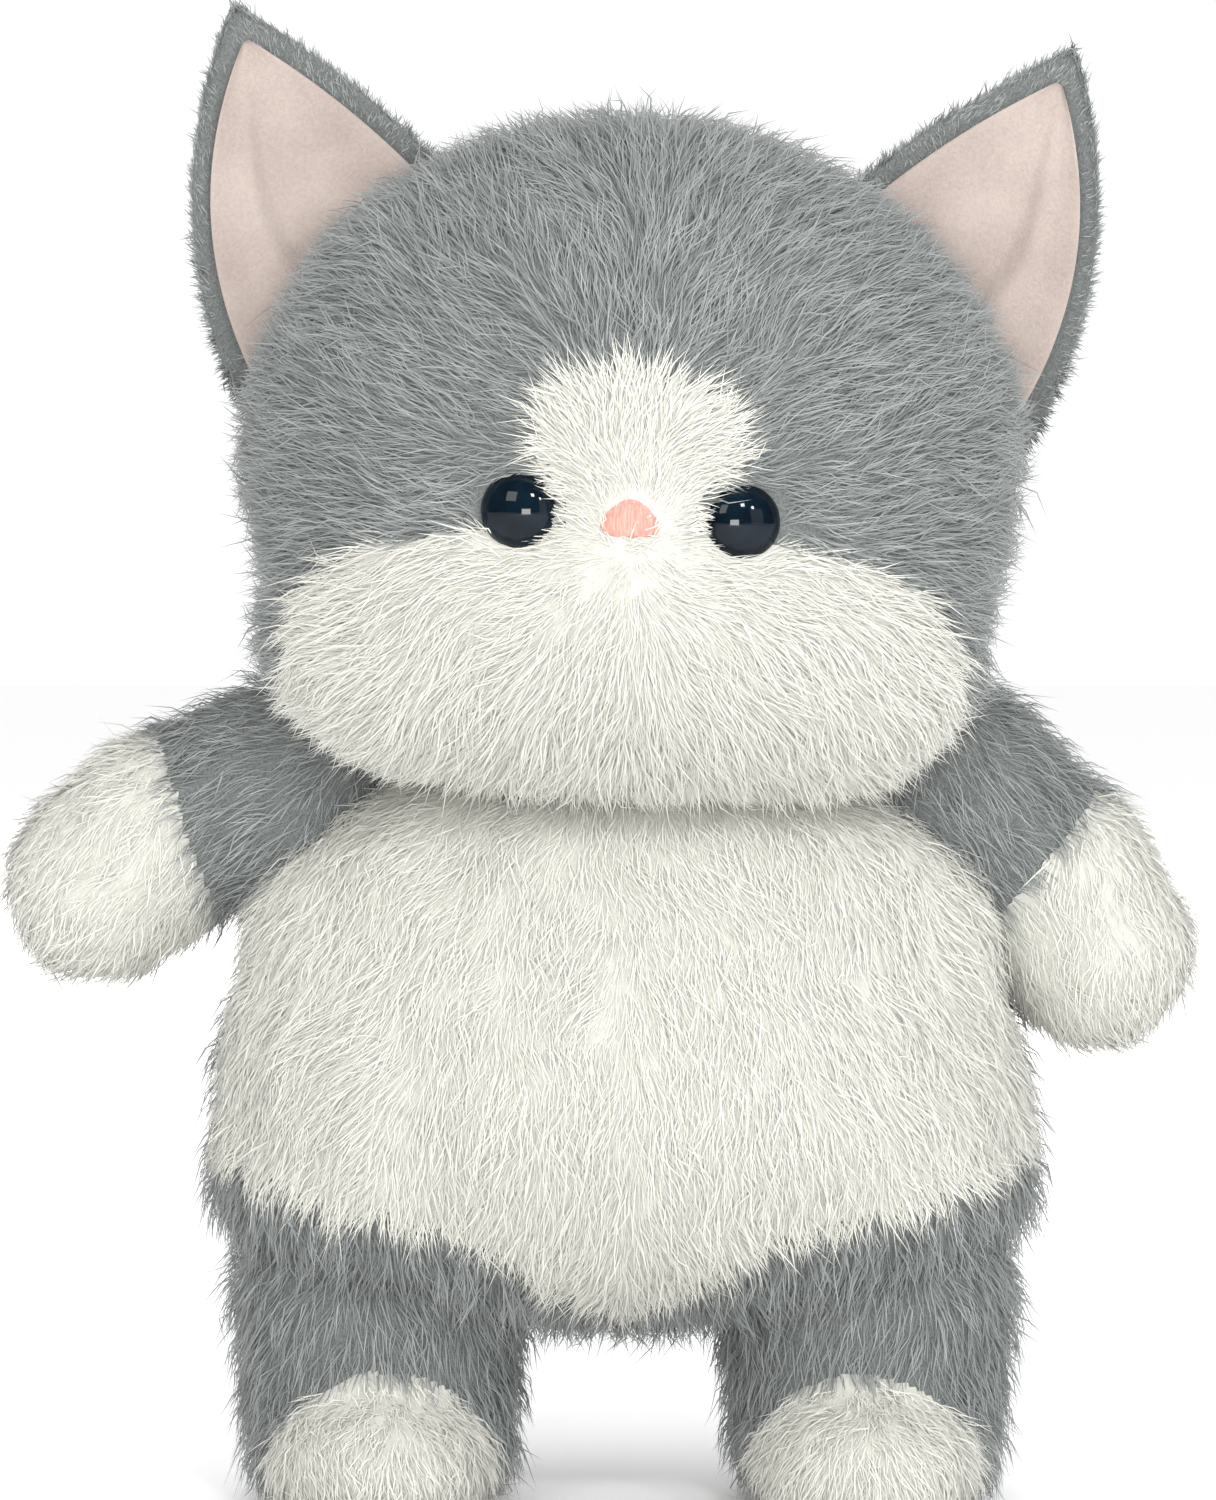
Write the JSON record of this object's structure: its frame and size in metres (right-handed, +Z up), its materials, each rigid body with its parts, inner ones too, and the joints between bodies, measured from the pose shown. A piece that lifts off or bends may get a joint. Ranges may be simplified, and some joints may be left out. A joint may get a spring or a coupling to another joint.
{
  "type": "plush cat",
  "caption": "Soft long-haired stuffed cat that stands on two short legs, with turning head, arms, legs, folding ears and a swinging tail.",
  "frame": {"origin": "on the floor under the middle of the toy", "axes": "+Z up, the face towards -Y, the cat's own left side at +X"},
  "size_m": [0.3533, 0.2314, 0.4396],
  "materials": {
    "neck_stuffing": "polyester fibre",
    "belly_left": "long pile",
    "belly_right": "long pile",
    "back_left": "long pile",
    "back_right": "long pile",
    "body_stuffing": "polyester fibre",
    "closing_stitches": "thread",
    "care_label": "satin",
    "forehead_left": "long pile",
    "forehead_right": "long pile",
    "blaze": "long pile",
    "cheek_left": "long pile",
    "cheek_right": "long pile",
    "head_back_left": "long pile",
    "head_back_right": "long pile",
    "head_stuffing": "polyester fibre",
    "nose": "satin stitch",
    "eye_dome_left": "glossy",
    "eye_dome_right": "glossy",
    "eye_rim_left": "glossy",
    "eye_rim_right": "glossy",
    "eye_washer_left": "plain",
    "eye_washer_right": "plain",
    "ear_back_left": "long pile",
    "ear_lining_left": "short pile",
    "ear_back_right": "long pile",
    "ear_lining_right": "short pile",
    "sleeve_left": "long pile",
    "paw_left": "long pile",
    "arm_stuffing_left": "polyester fibre",
    "sleeve_right": "long pile",
    "paw_right": "long pile",
    "arm_stuffing_right": "polyester fibre",
    "leg_cover_left": "long pile",
    "foot_left": "long pile",
    "sole_left": "short pile",
    "leg_stuffing_left": "polyester fibre",
    "leg_cover_right": "long pile",
    "foot_right": "long pile",
    "sole_right": "short pile",
    "leg_stuffing_right": "polyester fibre",
    "tail_cover": "long pile",
    "tail_stuffing": "polyester fibre"
  },
  "bodies": {
    "neck": {"neck_stuffing": "neck_stuffing"},
    "torso": {"belly_left": "belly_left", "belly_right": "belly_right", "back_left": "back_left", "back_right": "back_right", "body_stuffing": "body_stuffing", "closing_stitches": "closing_stitches", "care_label": "care_label"},
    "head": {"forehead_left": "forehead_left", "forehead_right": "forehead_right", "blaze": "blaze", "cheek_left": "cheek_left", "cheek_right": "cheek_right", "head_back_left": "head_back_left", "head_back_right": "head_back_right", "head_stuffing": "head_stuffing", "nose": "nose", "eye_dome_left": "eye_dome_left", "eye_dome_right": "eye_dome_right", "eye_rim_left": "eye_rim_left", "eye_rim_right": "eye_rim_right", "eye_washer_left": "eye_washer_left", "eye_washer_right": "eye_washer_right"},
    "ear_left": {"ear_back_left": "ear_back_left", "ear_lining_left": "ear_lining_left"},
    "ear_right": {"ear_back_right": "ear_back_right", "ear_lining_right": "ear_lining_right"},
    "arm_left": {"sleeve_left": "sleeve_left", "paw_left": "paw_left", "arm_stuffing_left": "arm_stuffing_left"},
    "arm_right": {"sleeve_right": "sleeve_right", "paw_right": "paw_right", "arm_stuffing_right": "arm_stuffing_right"},
    "leg_left": {"leg_cover_left": "leg_cover_left", "foot_left": "foot_left", "sole_left": "sole_left", "leg_stuffing_left": "leg_stuffing_left"},
    "leg_right": {"leg_cover_right": "leg_cover_right", "foot_right": "foot_right", "sole_right": "sole_right", "leg_stuffing_right": "leg_stuffing_right"},
    "tail": {"tail_cover": "tail_cover", "tail_stuffing": "tail_stuffing"}
  },
  "joints": [
    {"name": "head_turn", "type": "hinge", "parent": "torso", "child": "neck", "pos_m": [0.002, -0.0137, 0.214], "axis": [0, 0, 1], "range_deg": [-18, 18]},
    {"name": "head_nod", "type": "hinge", "parent": "neck", "child": "head", "pos_m": [0.002, -0.0137, 0.214], "axis": [1, 0, 0], "range_deg": [-10, 5]},
    {"name": "arm_left_raise", "type": "hinge", "parent": "torso", "child": "arm_left", "pos_m": [0.1025, -0.0097, 0.212], "axis": [0, -1, 0], "range_deg": [0, 60]},
    {"name": "arm_right_raise", "type": "hinge", "parent": "torso", "child": "arm_right", "pos_m": [-0.0935, -0.0097, 0.212], "axis": [0, 1, 0], "range_deg": [-20, 45]},
    {"name": "leg_left_swing", "type": "hinge", "parent": "torso", "child": "leg_left", "pos_m": [0.0775, -0.0097, 0.06], "axis": [-1, 0, 0], "range_deg": [-10, 20]},
    {"name": "leg_right_swing", "type": "hinge", "parent": "torso", "child": "leg_right", "pos_m": [-0.0685, -0.0097, 0.06], "axis": [-1, 0, 0], "range_deg": [-10, 20]},
    {"name": "ear_left_fold", "type": "hinge", "parent": "head", "child": "ear_left", "pos_m": [0.10081, -0.0017, 0.35582], "axis": [-0.577, 0, 0.8167], "range_deg": [-15, 12]},
    {"name": "ear_right_fold", "type": "hinge", "parent": "head", "child": "ear_right", "pos_m": [-0.08144, -0.0017, 0.36537], "axis": [-0.6593, 0, -0.7519], "range_deg": [-15, 12]},
    {"name": "tail_swing", "type": "hinge", "parent": "torso", "child": "tail", "pos_m": [0.0045, 0.0703, 0.088], "axis": [-1, 0, 0], "range_deg": [0, 40]}
  ]
}
